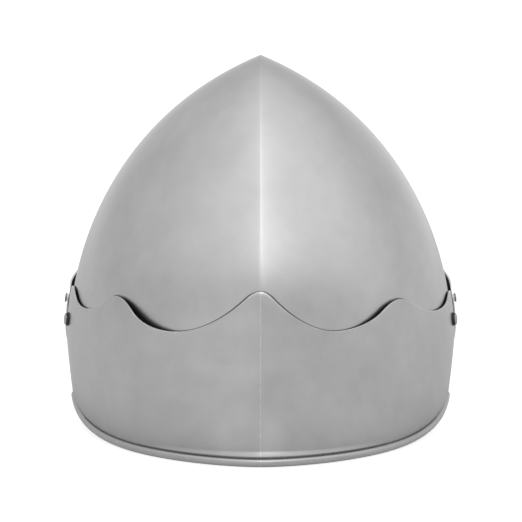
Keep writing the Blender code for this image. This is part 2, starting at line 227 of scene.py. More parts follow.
# Floor: what the steel sees of it, and what the camera sees
FLOOR_DROP = 0.0002
FLOOR_REACH = 8.0
FLOOR_PAINT = 0.617
FLOOR_SEEN_PAINT = 0.40
FLOOR_LIGHT = 0.12
FLOOR_SEEN_LIGHT = 0.84

# Light: the sky's even tone, its slope to the side and upward, and its soft patches in rows of: azimuth, elevation,
# width, height and strength. A strength below 0 darkens the sky.
SKY_TONE = 0.622
SKY_SIDE_SLOPE = -0.073
SKY_RISE = -0.030
GLOW_ROWS = (
    (-13, 47, 0.20, 0.36, 1.44),
    (16, 60, 0.79, 0.80, 0.70),
    (183, -8, 0.56, 0.32, 0.95),
    (16, -10, 0.80, 0.41, 0.60),
    (-11, 20, 0.38, 0.26, -0.54),
    (7, 22, 1.30, 0.23, -0.50),
    (-82, 38, 0.30, 0.57, 0.25),
)
GLOW_FACING = 4.0

# Values that follow from those above
ARCH_OFFSET = ARCH_RADIUS - HALF_WIDTH
APEX_HEIGHT = SPRING_HEIGHT + math.sqrt(ARCH_RADIUS**2 - ARCH_OFFSET**2)
RIDGE_RISE = APEX_HEIGHT - PIVOT_HEIGHT
ROLL_HEIGHT = ROLL_RADIUS + PLATE / 2 + ROLL_CLEARANCE

# Cutting, edges and smoothing
HOLE_TOOL_LENGTH = 0.02
EDGE_BEVEL = 0.00038
BEVEL_ANGLE = 50
PLATE_SHARP_ANGLE = 48
TURNED_SHARP_ANGLE = 50

# Painted shade that darkens the skull along the lame's wavy edge, and the lame along its rolled rim
CREVICE_WIDTH = 0.00045
CREVICE_PER_STAND_OFF = 0.60
CREVICE_HALF_STEP = 0.5
CREVICE_INSIDE_FALL = 0.25
CREVICE_INSIDE_LEVEL = 1.5
ROLL_CREVICE_WIDTH = 0.0013
RIM_SHADE_FADE = 0.0075
RIM_SHADE_ON_ROLL = 0.40
RIM_SHADE_DEPTH = 0.44
FAR_SHARE = 9.0

# Where the ridge starts to count as an edge, in millimetres: far off, so that it doesn't, or on the lame weakly, which
# paints a faint highlight down the lame's ridge
FAR_EDGE = 50.0
LAME_RIDGE_START = 0.50

# Steel's small variations: tone and roughness by cloud and by polishing line
CLOUD_BROAD_SHARE = 0.65
CLOUD_SWING = 4.0
CLOUD_ROUGHNESS = 0.10
LINE_FIRST_SHARE = 0.6
LINE_TONE = 0.10
LINE_ROUGHNESS = 0.08

# Finishes. Edge widths are in millimetres and bumps in metres.
# Edge colours brighten each plate's edges: partly polish, partly painted highlight
FINISHES = {
    "outer": {
        "name": "satin_steel",
        "colour": (0.56, 0.56, 0.565),
        "edge_colour": (0.80, 0.80, 0.805),
        "roughness": 0.33,
        "cloud": 0.08,
        "edge_width": 0.8,
        "bump": 0.000012,
        # How dark the painted shade is along the lame's wavy edge
        "painted_shade": 0.75,
    },
    "lame": {
        "name": "satin_steel_lame",
        "colour": (0.54, 0.54, 0.545),
        "edge_colour": (0.90, 0.90, 0.905),
        "roughness": 0.34,
        "cloud": 0.09,
        "edge_width": 0.8,
        "bump": 0.000012,
        # How dark the painted shade is at the lame's crease and above its rolled rim
        "painted_shade": 0.45,
    },
    "visor": {
        "name": "satin_steel_visor",
        "colour": (0.56, 0.56, 0.565),
        "edge_colour": (0.95, 0.95, 0.95),
        "roughness": 0.33,
        "cloud": 0.08,
        "edge_width": 1.0,
        "bump": 0.000012,
    },
    # The inside faces are dark, partly as a darker inside finish and partly as painted shade in the gaps between the
    # plates
    "inner": {
        "name": "dark_steel_inside",
        "colour": (0.16, 0.157, 0.153),
        "edge_colour": (0.5, 0.5, 0.5),
        "roughness": 0.52,
        "cloud": 0.22,
        "edge_width": 0.8,
        "bump": 0.00003,
    },
    "rivet": {
        "name": "rivet_steel",
        "colour": (0.44, 0.44, 0.44),
        "roughness": 0.34,
        "cloud": 0.12,
        "bump": 0.00001,
    },
}
WASHER_DARK = (0.012, 0.012, 0.012)
WASHER_LIGHT = (0.04, 0.038, 0.035)


# Formulas of the plates


def ease(share):
    """A smooth step from 0 to 1: 3 s squared minus 2 s cubed."""
    share = np.clip(share, 0.0, 1.0)
    return share * share * (3 - 2 * share)


def rounded_row_table():
    """The ridge's rows joined by straight lines and rounded by a bell-shaped running average of a few degrees."""
    at, front, back = np.array(RIDGE_ROWS, dtype=float).T
    degrees = np.arange(-RIDGE_MARGIN, 90 + RIDGE_MARGIN + RIDGE_STEP, RIDGE_STEP)
    beside = np.arange(-RIDGE_BLUR_REACH, RIDGE_BLUR_REACH + RIDGE_STEP, RIDGE_STEP)
    bell = np.exp(-0.5 * (beside / RIDGE_BLUR) ** 2)
    bell /= bell.sum()
    front = np.convolve(np.interp(np.abs(degrees), at, front), bell, mode="same")
    back = np.convolve(np.interp(np.abs(degrees), at, back), bell, mode="same")
    return degrees, front, back


RIDGE_TABLE = rounded_row_table()


def waist_drop(height):
    """How far below the waist a height lies, from 0 there to 1 at the rolled rim."""
    return np.clip((NAPE_HEIGHT - height) / (NAPE_HEIGHT - ROLL_HEIGHT), 0.0, None)


def skull_half_width(height):
    """Outer half width: a pointed arch of two circular arcs above the springing line, drawn in below the waist."""
    rise = np.clip(height - SPRING_HEIGHT, 0.0, APEX_HEIGHT - SPRING_HEIGHT)
    arch = np.sqrt(ARCH_RADIUS**2 - rise**2) - ARCH_OFFSET
    return np.maximum(arch, 0.0) - WAIST_NARROWING * waist_drop(height) ** WAIST_POWER


def ridge_reach(height):
    """How far the ridge reaches to the front and the back of y = 0, from the rounded table."""
    share = np.clip((height - PIVOT_HEIGHT) / RIDGE_RISE, 0.0, 1.0)
    degrees = np.degrees(np.arcsin(share))
    table_degrees, front, back = RIDGE_TABLE
    fall = np.cos(np.radians(degrees))
    front = FRONT_REACH * np.interp(degrees, table_degrees, front) * fall - APEX_Y
    back = BACK_REACH * np.interp(degrees, table_degrees, back) * fall + APEX_Y
    return front, back


def skull_roundness(height):
    """How much of an ellipse is in the pointed plan: more near the edge, where the ridge softens."""
    return ROUND_HIGH + (ROUND_LOW - ROUND_HIGH) * ease((ROUND_FROM_HEIGHT - height) / ROUND_RUN)


def plan_point(angle, half_width, front, back, roundness):
    """A point of the plan: a pointed lens of two arcs mixed with an ellipse; the angle runs from front to back."""
    middle = (back - front) / 2
    half_length = (back + front) / 2
    along = half_length * np.sin(angle)
    wide = np.maximum(half_width, 1e-6)
    radius = (wide**2 + half_length**2) / (2 * wide)
    lens = np.sqrt(np.maximum(radius**2 - along**2, 0.0)) - (radius - wide)
    ellipse = wide * np.cos(angle)
    return (1 - roundness) * lens + roundness * ellipse, middle + along


def plan_angle(along, height):
    """The angle round the plan at a place along y, at a height: the inverse of plan_point's y."""
    front, back = ridge_reach(height)
    return np.arcsin(np.clip((along - (back - front) / 2) / ((back + front) / 2), -1.0, 1.0))


def skull_point(angle, height):
    """A point of the skull's outer surface at an angle round the plan and a height."""
    front, back = ridge_reach(height)
    return plan_point(angle, skull_half_width(height), front, back, skull_roundness(height))


def lame_plan(height, offset):
    """Half width, reaches and roundness of the lame: the skull's above its waist, then a flared tail."""
    front, back = ridge_reach(height)
    drop = waist_drop(height)
    flare = drop**FLARE_POWER
    half_width = skull_half_width(height) + offset
    back = back + offset + FLARE * flare
    front = front + offset
    front = front + (back - front) * np.clip(flare, 0.0, 1.0)
    roundness = skull_roundness(height) + (ROUND_RIM - ROUND_LOW) * np.clip(drop, 0.0, 1.0)
    return half_width, front, back, roundness


def visor_plan(height, offset):
    """Half width and reaches of the visor: over the brow it turns about the pivot, below it is a prow."""
    front, back = ridge_reach(height)
    drop = np.clip((PIVOT_HEIGHT - height) / (PIVOT_HEIGHT - PROW_FOOT), 0.0, None)
    prow = PROW_REACH * np.sin(np.clip(drop, 0.0, 1.0) * math.pi / 2) ** PROW_POWER
    return skull_half_width(height) + offset, front + offset + prow, back + offset


def wave_height(degrees, side):
    """Height of the wavy edge: from each trough a parabola rises, which a second one rounds off at the crest.

    With m the trough's share of the run, the first is s squared over m and the second 1 - (1 - s) squared over 1 - m.
    """
    at, heights, trough_shares = np.array(WAVE_ROWS[side], dtype=float).T
    position = np.interp(degrees, at, np.arange(len(at)))
    left = np.clip(np.floor(position), 0, len(at) - 2).astype(int)
    share = position - left
    start = heights[left]
    end = heights[left + 1]
    trough = trough_shares[left]
    rise = np.where(start > end, 1 - share, share)
    lift = np.where(rise < trough, rise**2 / trough, 1 - (1 - rise) ** 2 / (1 - trough))
    return np.minimum(start, end) + np.abs(end - start) * lift


def stand_off(degrees, side):
    """How far the wavy edge stands off the skull: a squared cosine about each row's place on that side."""
    total = np.zeros_like(degrees)
    for row_side, place, spread, distance in STAND_OFF_ROWS:
        if row_side == side:
            total += distance * np.cos(np.clip((degrees - place) / spread, -1, 1) * math.pi / 2) ** 2
    return total


def rim_height(along):
    """Height of the middle of the rolled rim: level round the tail, rising toward the lame's front ends."""
    share = np.clip((RIM_LEVEL_FROM - along) / RIM_RISE_RUN, 0.0, None)
    return ROLL_HEIGHT + RIM_RISE * share**RIM_RISE_POWER


# Mesh tools


def linked_object(name, verts, faces):
    """A new object in the scene with these points and faces."""
    mesh = bpy.data.meshes.new(name)
    mesh.from_pydata(verts, [], faces)
    mesh.update()
    obj = bpy.data.objects.new(name, mesh)
    bpy.context.scene.collection.objects.link(obj)
    return obj


def grid_object(name, points, wrap=False, crown=None, foot=None, missing=None):
    """A mesh of quads over rows and columns of points; faces look along columns x rows.

    wrap joins the last column to the first, crown closes the last row to one point and foot the first row, and
    missing is a mask of quads that are left out.
    """
    rows, columns = points.shape[:2]
    index = np.arange(rows * columns).reshape(rows, columns)
    if wrap:
        index = np.concatenate((index, index[:, :1]), axis=1)
    quads = np.stack((index[:-1, :-1], index[:-1, 1:], index[1:, 1:], index[1:, :-1]), axis=-1)
    if missing is not None:
        quads = quads[~missing]
    faces = quads.reshape(-1, 4).tolist()
    verts = points.reshape(-1, 3)
    if crown is not None:
        verts = np.vstack((verts, crown))
        last = index[-1]
        top = np.full(len(last) - 1, len(verts) - 1)
        faces += np.stack((last[:-1], last[1:], top), axis=-1).tolist()
    if foot is not None:
        verts = np.vstack((verts, foot))
        first = index[0]
        low = np.full(len(first) - 1, len(verts) - 1)
        faces += np.stack((first[1:], first[:-1], low), axis=-1).tolist()
    return linked_object(name, verts.tolist(), faces)


def hole_tool(name, seats, prefix):
    """Joined cylinders along the seats' normals, which cut the rivet holes."""
    turn = np.linspace(0, 2 * math.pi, HOLE_STEPS, endpoint=False)
    radius = SHANK_RADIUS + HOLE_GAP
    verts = []
    faces = []
    for seat_name, seat, normal in seats:
        if not seat_name.startswith(prefix):
            continue
        side = normal.orthogonal().normalized()
        other = normal.cross(side)
        ring = np.outer(np.cos(turn), side) * radius + np.outer(np.sin(turn), other) * radius
        base = len(verts)
        for along in (-HOLE_TOOL_LENGTH / 2, HOLE_TOOL_LENGTH / 2):
            verts += (ring + np.array(seat + normal * along)).tolist()
        count = len(turn)
        low = base + np.arange(count)
        high = low + count
        faces += np.stack((low, np.roll(low, -1), np.roll(high, -1), high), axis=-1).tolist()
        faces += [low[::-1].tolist(), high.tolist()]
    return linked_object(name, verts, faces)


def make_plate(obj, side, holes, thickness=PLATE):
    """Gives a surface the plate's thickness, rivet holes and slightly rounded edges, and applies them."""
    solidify = obj.modifiers.new("plate", "SOLIDIFY")
    solidify.thickness = thickness
    solidify.offset = side
    solidify.use_even_offset = True
    solidify.use_quality_normals = True
    solidify.material_offset = 1
    if holes is not None:
        boolean = obj.modifiers.new("rivet holes", "BOOLEAN")
        boolean.object = holes
        boolean.operation = "DIFFERENCE"
        boolean.solver = "EXACT"
    bevel = obj.modifiers.new("edges", "BEVEL")
    bevel.width = EDGE_BEVEL
    bevel.segments = 2
    bevel.limit_method = "ANGLE"
    bevel.angle_limit = math.radians(BEVEL_ANGLE)
    bevel.harden_normals = False
    apply_modifiers(obj)
    if holes is not None:
        bpy.data.objects.remove(holes, do_unlink=True)
    smooth(obj, PLATE_SHARP_ANGLE)
    return obj


def smooth(obj, sharp_degrees):
    """Smooth shading, apart from edges that bend more than the given angle."""
    obj.data.shade_smooth()
    obj.data.set_sharp_from_angle(angle=math.radians(sharp_degrees))


def apply_modifiers(obj):
    """Puts the result of all modifiers into the mesh."""
    deps = bpy.context.evaluated_depsgraph_get()
    mesh = bpy.data.meshes.new_from_object(obj.evaluated_get(deps))
    old = obj.data
    obj.modifiers.clear()
    obj.data = mesh
    bpy.data.meshes.remove(old)
    mesh.name = obj.name


def vertex_places(obj):
    """The mesh's points as an array."""
    place = np.empty(len(obj.data.vertices) * 3, dtype=np.float32)
    obj.data.vertices.foreach_get("co", place)
    return place.reshape(-1, 3)


def line_distance(places, line):
    """Each place's distance to the nearest point of a line."""
    nearest = np.full(len(places), 1.0, dtype=np.float32)
    for start in range(0, len(line), POINTS_AT_ONCE):
        chunk = line[start:start + POINTS_AT_ONCE].astype(np.float32)
        gap = np.linalg.norm(places[:, None, :] - chunk[None, :, :], axis=-1)
        nearest = np.minimum(nearest, gap.min(axis=1))
    return nearest


def store_values(obj, name, values):
    """Writes one number for each vertex as an attribute that the materials read."""
    attribute = obj.data.attributes.new(name, "FLOAT", "POINT")
    attribute.data.foreach_set("value", values.astype(np.float32))


def store_edge_distance(obj, edge_points, ridge_start=FAR_EDGE):
    """Writes each vertex's distance to the plate's edge, in millimetres, as the attribute edge_mm.

    The ridge counts as an edge that starts at ridge_start, which makes its brightening, a painted highlight, weaker.
    """
    places = vertex_places(obj)
    ridge = np.abs(places[:, 0]) * 1000 + ridge_start
    store_values(obj, "edge_mm", np.minimum(line_distance(places, edge_points) * 1000, ridge))


def wave_crevice(places):
    """How far each place lies above the lame's wavy edge, as a share of the painted shade line's width there.

    It is measured square to the edge: the rise divided by the root of 1 plus the edge's slope squared.
    """
    x, y, z = places.T
    degrees = np.degrees(np.arctan2(np.abs(x), y))
    share = np.empty_like(z)
    for side in (1, -1):
        chosen = x * side >= 0
        turn = degrees[chosen]
        run = np.radians(2 * CREVICE_HALF_STEP) * np.hypot(x, y)[chosen]
        before = wave_height(np.abs(turn - CREVICE_HALF_STEP), side)
        climb = wave_height(turn + CREVICE_HALF_STEP, side) - before
        width = CREVICE_WIDTH + CREVICE_PER_STAND_OFF * stand_off(turn, side)
        slope = climb / np.maximum(run, 1e-6)
        share[chosen] = (z[chosen] - wave_height(turn, side)) / np.sqrt(1 + slope**2) / width
    return np.where(y < LAME_FRONT, FAR_SHARE, share)


# Pieces


def skull_edge_line():
    """The skull's lower edge seen from the side, as (y, z): face opening, cheek and nape, joined by arcs.

    With it comes the number of the point at the middle of the cheek's upper corner.
    """
    front, back = ridge_reach(np.array(FACE_TOP))
    turn = np.linspace(math.pi / 2, 0.0, CORNER_STEPS)
    upper = np.stack((
        CHEEK_FRONT - CHEEK_CORNER + CHEEK_CORNER * np.cos(turn),
        FACE_TOP - CHEEK_CORNER + CHEEK_CORNER * np.sin(turn),
    ), axis=-1)
    lower = np.stack((
        CHEEK_FRONT + CHEEK_FOOT_CORNER - CHEEK_FOOT_CORNER * np.cos(turn[::-1]),
        CHEEK_FOOT_CORNER - CHEEK_FOOT_CORNER * np.sin(turn[::-1]),
    ), axis=-1)
    run = np.linspace(0.0, 1.0, NAPE_STEPS)
    nape = np.stack((CHEEK_REAR + NAPE_RUN * run, NAPE_HEIGHT * ease(run)), axis=-1)
    reach = ridge_reach(np.array(NAPE_HEIGHT))[1]
    across = np.linspace(0.0, 1.0, EDGE_STEPS)[:, None]
    brow = np.array([(-float(front), FACE_TOP)]) * (1 - across) + upper[:1] * across
    back_run = nape[-1:] * (1 - across) + np.array([(float(reach), NAPE_HEIGHT)]) * across
    line = np.concatenate((brow, upper[1:], lower, nape, back_run[1:]))
    return line, len(brow) + len(upper) // 2


def build_skull(seats):
    """The bowl: columns leave the lower edge and fan out to the crown, each rising by 1 - (1 - t) to a power."""
    line, corner = skull_edge_line()

    angle = plan_angle(line[:, 0], line[:, 1])
    x, y = skull_point(angle, line[:, 1])
    place = np.stack((x, y, line[:, 1]), axis=-1)
    run = np.concatenate(([0.0], np.cumsum(np.linalg.norm(np.diff(place, axis=0), axis=1))))
    even = np.linspace(0.0, run[-1], SKULL_COLUMNS + 1)
    edge_y = np.interp(even, run, line[:, 0])
    edge_z = np.interp(even, run, line[:, 1])
    edge_angle = plan_angle(edge_y, edge_z)
    edge_angle[0] = -math.pi / 2
    edge_angle[-1] = math.pi / 2
    turning = angle[corner] + math.radians(FAN_LEAN)
    fan = np.where(
        even < run[corner],
        -math.pi / 2 + (turning + math.pi / 2) * even / run[corner],
        turning + (math.pi / 2 - turning) * (even - run[corner]) / (run[-1] - run[corner]),
    )
    rise = np.linspace(0.0, 1.0, SKULL_LEVELS + 1)[:-1, None]
    spread = 1 - (1 - np.clip(rise / FAN_SPREAD_SHARE, 0.0, 1.0)) ** 2
    climb = 1 - (1 - rise) ** FAN_CLIMB_POWER
    angles = edge_angle + (fan - edge_angle) * spread
    heights = edge_z + (APEX_HEIGHT - edge_z) * climb
    x, y = skull_point(angles, heights)
    x[:, 0] = 0.0
    x[:, -1] = 0.0
    left = np.stack((x, y, heights), axis=-1)
    right = left[:, -2:0:-1] * np.array((-1.0, 1.0, 1.0))
    points = np.concatenate((left, right), axis=1)
    skull = grid_object("skull_plate", points, wrap=True, crown=np.array([(0.0, APEX_Y, APEX_HEIGHT)]))
    edge = points[0].copy()
    make_plate(skull, -1, hole_tool("skull_holes", seats, ""))
    store_edge_distance(skull, edge)
    # Painted shade: a dark line on the skull along the lame's wavy edge, wider where the edge stands off
    store_values(skull, "crevice", wave_crevice(vertex_places(skull)))
    return skull


def build_neck_lame(seats):
    """The neck plate: vertical profiles from the wavy edge down a flared wall, a bend inward and an outward roll."""
    offset = LAME_GAP + PLATE - THIN_PLATE / 2
    share = np.linspace(0.0, 1.0, LAME_COLUMNS + 1)[None, :]

    def plan(height):
        half_width, front, back, roundness = lame_plan(height, offset)
        first = np.arcsin((LAME_FRONT - (back - front) / 2) / ((back + front) / 2))
        angle = first + (math.pi / 2 - first) * share
        x, y = plan_point(angle, half_width, front, back, roundness)
        return np.where(share >= 1.0, 0.0, x), y

    x, y = plan(np.full_like(share, WAVE_TROUGH))
    degrees = np.degrees(np.arctan2(x, y))
    for _ in range(RIM_ROUNDS):
        y = plan(rim_height(y))[1]
    centre = rim_height(y)
    bend_top = centre + ROLL_BEND
    down = np.linspace(0.0, 1.0, LAME_LEVELS + 1)[:, None]
    rim_x, rim_y = plan(centre)
    tangent = np.stack((np.gradient(rim_x[0]), np.gradient(rim_y[0])), axis=-1)
    tangent /= np.linalg.norm(tangent, axis=-1, keepdims=True)
    outward = np.stack((tangent[:, 1], -tangent[:, 0], np.zeros(share.size)), axis=-1)
    outward[-1] = (0.0, 1.0, 0.0)
    line = np.stack((rim_x[0], rim_y[0], centre[0]), axis=-1)
    middle = line - outward * ROLL_INSET
    upward = np.array((0.0, 0.0, 1.0))
    inset = ROLL_INSET + ROLL_RADIUS
    bend = [
        line - outward * inset * float(ease(step)) + upward * ROLL_BEND * (1 - step)
        for step in np.linspace(0.0, 1.0, BEND_STEPS + 1)[1:-1]
    ]
    turns = np.radians(np.linspace(0, ROLL_TURN, ROLL_STEPS + 1))
    roll = [middle - outward * ROLL_RADIUS * math.cos(t) - upward * ROLL_RADIUS * math.sin(t) for t in turns]
    halves = []
    for side in (1, -1):
        top = wave_height(degrees, side)
        height = top + (bend_top - top) * down
        wall_x, wall_y = plan(height)
        lift = stand_off(degrees, side) * (1 - down) ** STAND_OFF_POWER
        radial = np.maximum(np.hypot(wall_x, wall_y), 1e-6)
        wall = np.stack((wall_x + lift * wall_x / radial, wall_y + lift * wall_y / radial, height), axis=-1)
        half = np.concatenate((wall, np.array(bend), np.array(roll)))[::-1]
        halves.append(half * np.array((side, 1.0, 1.0)))
    points = np.concatenate((halves[0], halves[1][:, -2::-1]), axis=1)
    crease = points[ROLL_STEPS + 1]
    lame = grid_object("neck_lame_plate", points)
    edge = np.concatenate((points[-1], points[:, 0], points[:, -1]))
    make_plate(lame, 0, hole_tool("lame_holes", seats, "lame_rivet"), THIN_PLATE)
    store_edge_distance(lame, edge, LAME_RIDGE_START)
    # Painted shade: a dark line at the crease above the roll, and a broad soft shade above the rolled rim, lighter on
    # the roll
    places = vertex_places(lame)
    from_crease = line_distance(places, crease)
    rim_y = np.interp(np.abs(places[:, 0]), line[::-1, 0], line[::-1, 1])
    on_roll = places[:, 2] < rim_height(rim_y) + ROLL_RADIUS
    painted_shade = np.exp(-from_crease / RIM_SHADE_FADE) * np.where(on_roll, RIM_SHADE_ON_ROLL, 1.0)
    store_values(lame, "crevice", from_crease / ROLL_CREVICE_WIDTH)
    store_values(lame, "rim_painted_shade", painted_shade)
    return lame


def build_visor(seats):
    """The visor: plans by height between a lower and an upper edge line, with a band of quads left out at the sights."""
    offset = VISOR_GAP + PLATE - THIN_PLATE / 2
    _, front, back = visor_plan(np.array(PIVOT_HEIGHT), offset)
    middle = (back - front) / 2
    half_length = (back + front) / 2
    lobe = LOBE_RADIUS * np.cos(np.radians(np.linspace(LOBE_FIRST_ANGLE, 90, LOBE_COLUMNS + 1)))
    lobe_angle = np.arcsin((lobe - middle) / half_length)
    angle = np.concatenate((lobe_angle, np.linspace(lobe_angle[-1], -math.pi / 2, VISOR_COLUMNS + 1)[1:]))
    along = middle + half_length * np.sin(angle)
    forward = np.clip(-along / front, 0.0, 1.0)
    round_end = np.sqrt(np.clip(1 - np.clip(along / LOBE_RADIUS, 0.0, 1.0) ** 2, 0.0, 1.0))
    point = BROW_POINT * ease(1 - (1 - forward) / BROW_POINT_SHARE)
    brow = (BROW_HEIGHT - PIVOT_HEIGHT - LOBE_RADIUS) * forward + point
    upper = PIVOT_HEIGHT + LOBE_RADIUS * round_end + brow
    foot_drop = (PIVOT_HEIGHT - LOBE_DROP - PROW_FOOT) * np.sin(forward * math.pi / 2)
    lower = PIVOT_HEIGHT - LOBE_DROP * round_end - foot_drop
    sight_top = SIGHT_BOTTOM + SIGHT_HEIGHT
    below, within, above = VISOR_LEVELS
    even = np.linspace(0.0, 1.0, below + within + above + 1)[:, None]
    plain = lower + (upper - lower) * even
    stepped = np.concatenate((
        lower + (SIGHT_BOTTOM - lower) * np.linspace(0.0, 1.0, below + 1)[:, None],
        np.full_like(lower, SIGHT_BOTTOM) + SIGHT_HEIGHT * np.linspace(0.0, 1.0, within + 1)[1:, None],
        sight_top + (upper - sight_top) * np.linspace(0.0, 1.0, above + 1)[1:, None],
    ))
    height = plain + (stepped - plain) * ease((-along - SIGHT_ROWS_START) / SIGHT_ROWS_RUN)
    half_width, front, back = visor_plan(height, offset)
    x, y = plan_point(angle[None, :], half_width, front, back, skull_roundness(height))
    x[:, -1] = 0.0
    left = np.stack((x, y, height), axis=-1)
    right = left[:, -2::-1] * np.array((-1.0, 1.0, 1.0))
    points = np.concatenate((left, right), axis=1)[:, ::-1]
    centre_row = points[below + within // 2]
    open_column = (np.abs(centre_row[:, 0]) > SIGHT_INNER) & (centre_row[:, 1] < SIGHT_REAR)
    missing = np.zeros((points.shape[0] - 1, points.shape[1] - 1), dtype=bool)
    missing[below:below + within] = open_column[:-1] & open_column[1:]
    visor = grid_object("visor_plate", points, missing=missing)
    sight = points[below:below + within + 1, open_column]
    edge = np.concatenate((points[0], points[-1], points[:, 0], points[:, -1], sight[0], sight[-1]))
    make_plate(visor, 0, hole_tool("visor_holes", seats, "pivot_rivet"), THIN_PLATE)
    store_edge_distance(visor, edge)
    return visor


def side_seat(along, height):
    """The point of the skull's side at a place along y and height, and the normal there, from its slopes."""
    def surface(y, z):
        return float(skull_point(plan_angle(y, z), z)[0])

    slope_y = (surface(along + SEAT_STEP, height) - surface(along - SEAT_STEP, height)) / (2 * SEAT_STEP)
    slope_z = (surface(along, height + SEAT_STEP) - surface(along, height - SEAT_STEP)) / (2 * SEAT_STEP)
    normal = Vector((1.0, -slope_y, -slope_z)).normalized()
    return Vector((surface(along, height), along, height)), normal


def rivet_seats():
    """Name, skull surface point and normal for each rivet; the left ones are on +X."""
    seats = []
    for kind, along, height in (
        ("pivot_rivet", 0.0, PIVOT_HEIGHT),
        ("lame_rivet", LAME_PIVOT_Y, LAME_PIVOT_HEIGHT),
    ):
        seat, normal = side_seat(along, height)
        seats.append((kind + "_left", seat, normal))
        seats.append((kind + "_right", Vector((-seat.x, seat.y, seat.z)), Vector((-normal.x, normal.y, normal.z))))
    return seats


def turned_points(profile, seat, normal, flats=0.0, seed=0):
    """Turns a profile of (radius, height) rows about the normal.

    flats roughens the radius as light hammering does: by a wave of 5 lobes and 0.6 of a wave of 9 lobes, which the
    seed sets off.
    """
    profile = np.array(profile)
    turn = np.linspace(0, 2 * math.pi, TURN_STEPS, endpoint=False)
    side = normal.orthogonal().normalized()
    other = normal.cross(side)
    phase = seed * 1.7
    wobble = 1 + flats * (np.sin(5 * turn + phase) + 0.6 * np.sin(9 * turn + 2.1 * phase)) / 1.6
    radius = profile[:, 0, None] * wobble
    return (
        np.array(seat)
        + (radius * np.cos(turn))[..., None] * np.array(side)
        + (radius * np.sin(turn))[..., None] * np.array(other)
        + profile[:, 1, None, None] * np.array(normal)
    )


def closed_turned_object(name, profile, seat, normal, flats=0.0, seed=0):
    """A turned piece whose profile runs from its lower point on the axis to its upper point on the axis."""
    points = turned_points(profile[1:-1], seat, normal, flats, seed)
    foot, crown = (np.array(seat + normal * float(profile[end][1])) for end in (0, -1))
    obj = grid_object(name, points, wrap=True, crown=crown, foot=foot)
    smooth(obj, TURNED_SHARP_ANGLE)
    return obj


def rivet_profile(head_radius, head_height, grip):
    """From the hammered inner end, up the shank, round the head's edge and over its dome."""
    lip = head_radius * HEAD_LIP_SHARE
    rows = [(PEEN_RADIUS * wide, -grip - PEEN_HEIGHT * high) for wide, high in PEEN_ROWS]
    rows += [(SHANK_RADIUS, -grip), (SHANK_RADIUS, 0.0), (head_radius - lip, 0.0)]
    angles = np.linspace(0.0, math.pi / 2, HEAD_DOME_STEPS + 1)
    rows += [(head_radius * math.cos(a), lip + (head_height - lip) * math.sin(a)) for a in angles[:-1]]
    rows.append((0.0, head_height))
    return rows


def build_rivets(seats):
    """Name and object of each rivet and washer, each seated on the plates under it with its gaps."""
    pieces = []
    behind = PLATE + FACET_GAP
    over_visor = VISOR_GAP + PLATE + HEAD_GAP
    over_lame = LAME_GAP + PLATE + SEAT_GAP
    over_washer = over_lame + WASHER_THICKNESS + SEAT_GAP
    for number, (name, seat, normal) in enumerate(seats):
        if name.startswith("pivot_rivet"):
            profile = rivet_profile(PIVOT_HEAD_RADIUS, PIVOT_HEAD_HEIGHT - HEAD_TRIM, over_visor + behind)
            place = seat + normal * over_visor
        else:
            profile = rivet_profile(LAME_HEAD_RADIUS, LAME_HEAD_HEIGHT - HEAD_TRIM, over_washer + behind)
            place = seat + normal * over_washer
            pieces.append(build_washer(name.replace("rivet", "washer"), seat + normal * over_lame, normal))
        pieces.append((name, closed_turned_object(name + "_fine", profile, place, normal, HEAD_FLATS, number)))
    return pieces


def build_washer(name, place, normal):
    """A flat ring with rounded outer corners, turned about the rivet."""
    inner = SHANK_RADIUS + HOLE_GAP
    corner = WASHER_THICKNESS * WASHER_CORNER_SHARE
    wide = WASHER_RADIUS - corner
    high = WASHER_THICKNESS - corner
    turn = np.linspace(0.0, math.pi / 2, WASHER_CORNER_STEPS + 1)
    rows = [(inner, 0.0)]
    rows += [(wide + corner * math.sin(t), corner - corner * math.cos(t)) for t in turn]
    rows += [(wide + corner * math.cos(t), high + corner * math.sin(t)) for t in turn]
    rows += [(inner, WASHER_THICKNESS), (inner, 0.0)]
    obj = grid_object(name + "_fine", turned_points(rows, place, normal), wrap=True)
    smooth(obj, TURNED_SHARP_ANGLE)
    return name, obj


# Materials


def link(tree, source, target):
    """Joins an output socket to an input socket."""
    tree.links.new(source, target)


def math_node(tree, operation, first, second=None, third=None, clamp=False):
    """A Math node; each input is a number or a socket."""
    node = tree.nodes.new("ShaderNodeMath")
    node.operation = operation
    node.use_clamp = clamp
    for slot, value in enumerate((first, second, third)):
        if value is None:
            continue
        if isinstance(value, (int, float)):
            node.inputs[slot].default_value = value
        else:
            link(tree, value, node.inputs[slot])
    return node.outputs[0]


def noise(tree, vector, scale, detail, roughness=0.5):
    """The factor of a Noise texture; the scale is a number or a socket."""
    node = tree.nodes.new("ShaderNodeTexNoise")
    if isinstance(scale, (int, float)):
        node.inputs["Scale"].default_value = scale
    else:
        link(tree, scale, node.inputs["Scale"])
    node.inputs["Detail"].default_value = detail
    node.inputs["Roughness"].default_value = roughness
    link(tree, vector, node.inputs["Vector"])
    return node.outputs["Fac"]


def mapped(tree, vector, scale, rotation):
    """A vector that is stretched and turned, in radians."""
    node = tree.nodes.new("ShaderNodeMapping")
    node.inputs["Scale"].default_value = scale
    node.inputs["Rotation"].default_value = rotation
    link(tree, vector, node.inputs["Vector"])
    return node.outputs["Vector"]


def new_group(name, inputs, outputs):
    """A shader group with named sockets: each is (name, socket type, default or None)."""
    group = bpy.data.node_groups.new(name, "ShaderNodeTree")
    for socket_name, kind, default in inputs:
        socket = group.interface.new_socket(socket_name, in_out="INPUT", socket_type=kind)
        if default is not None:
            socket.default_value = default
    for socket_name, kind in outputs:
        group.interface.new_socket(socket_name, in_out="OUTPUT", socket_type=kind)
    return group, group.nodes.new("NodeGroupInput"), group.nodes.new("NodeGroupOutput")


def mixed(tree, first, second, share):
    """The first socket's value times the share, plus the second's times the rest."""
    parts = (math_node(tree, "MULTIPLY", first, share), math_node(tree, "MULTIPLY", second, 1 - share))
    return math_node(tree, "ADD", *parts)


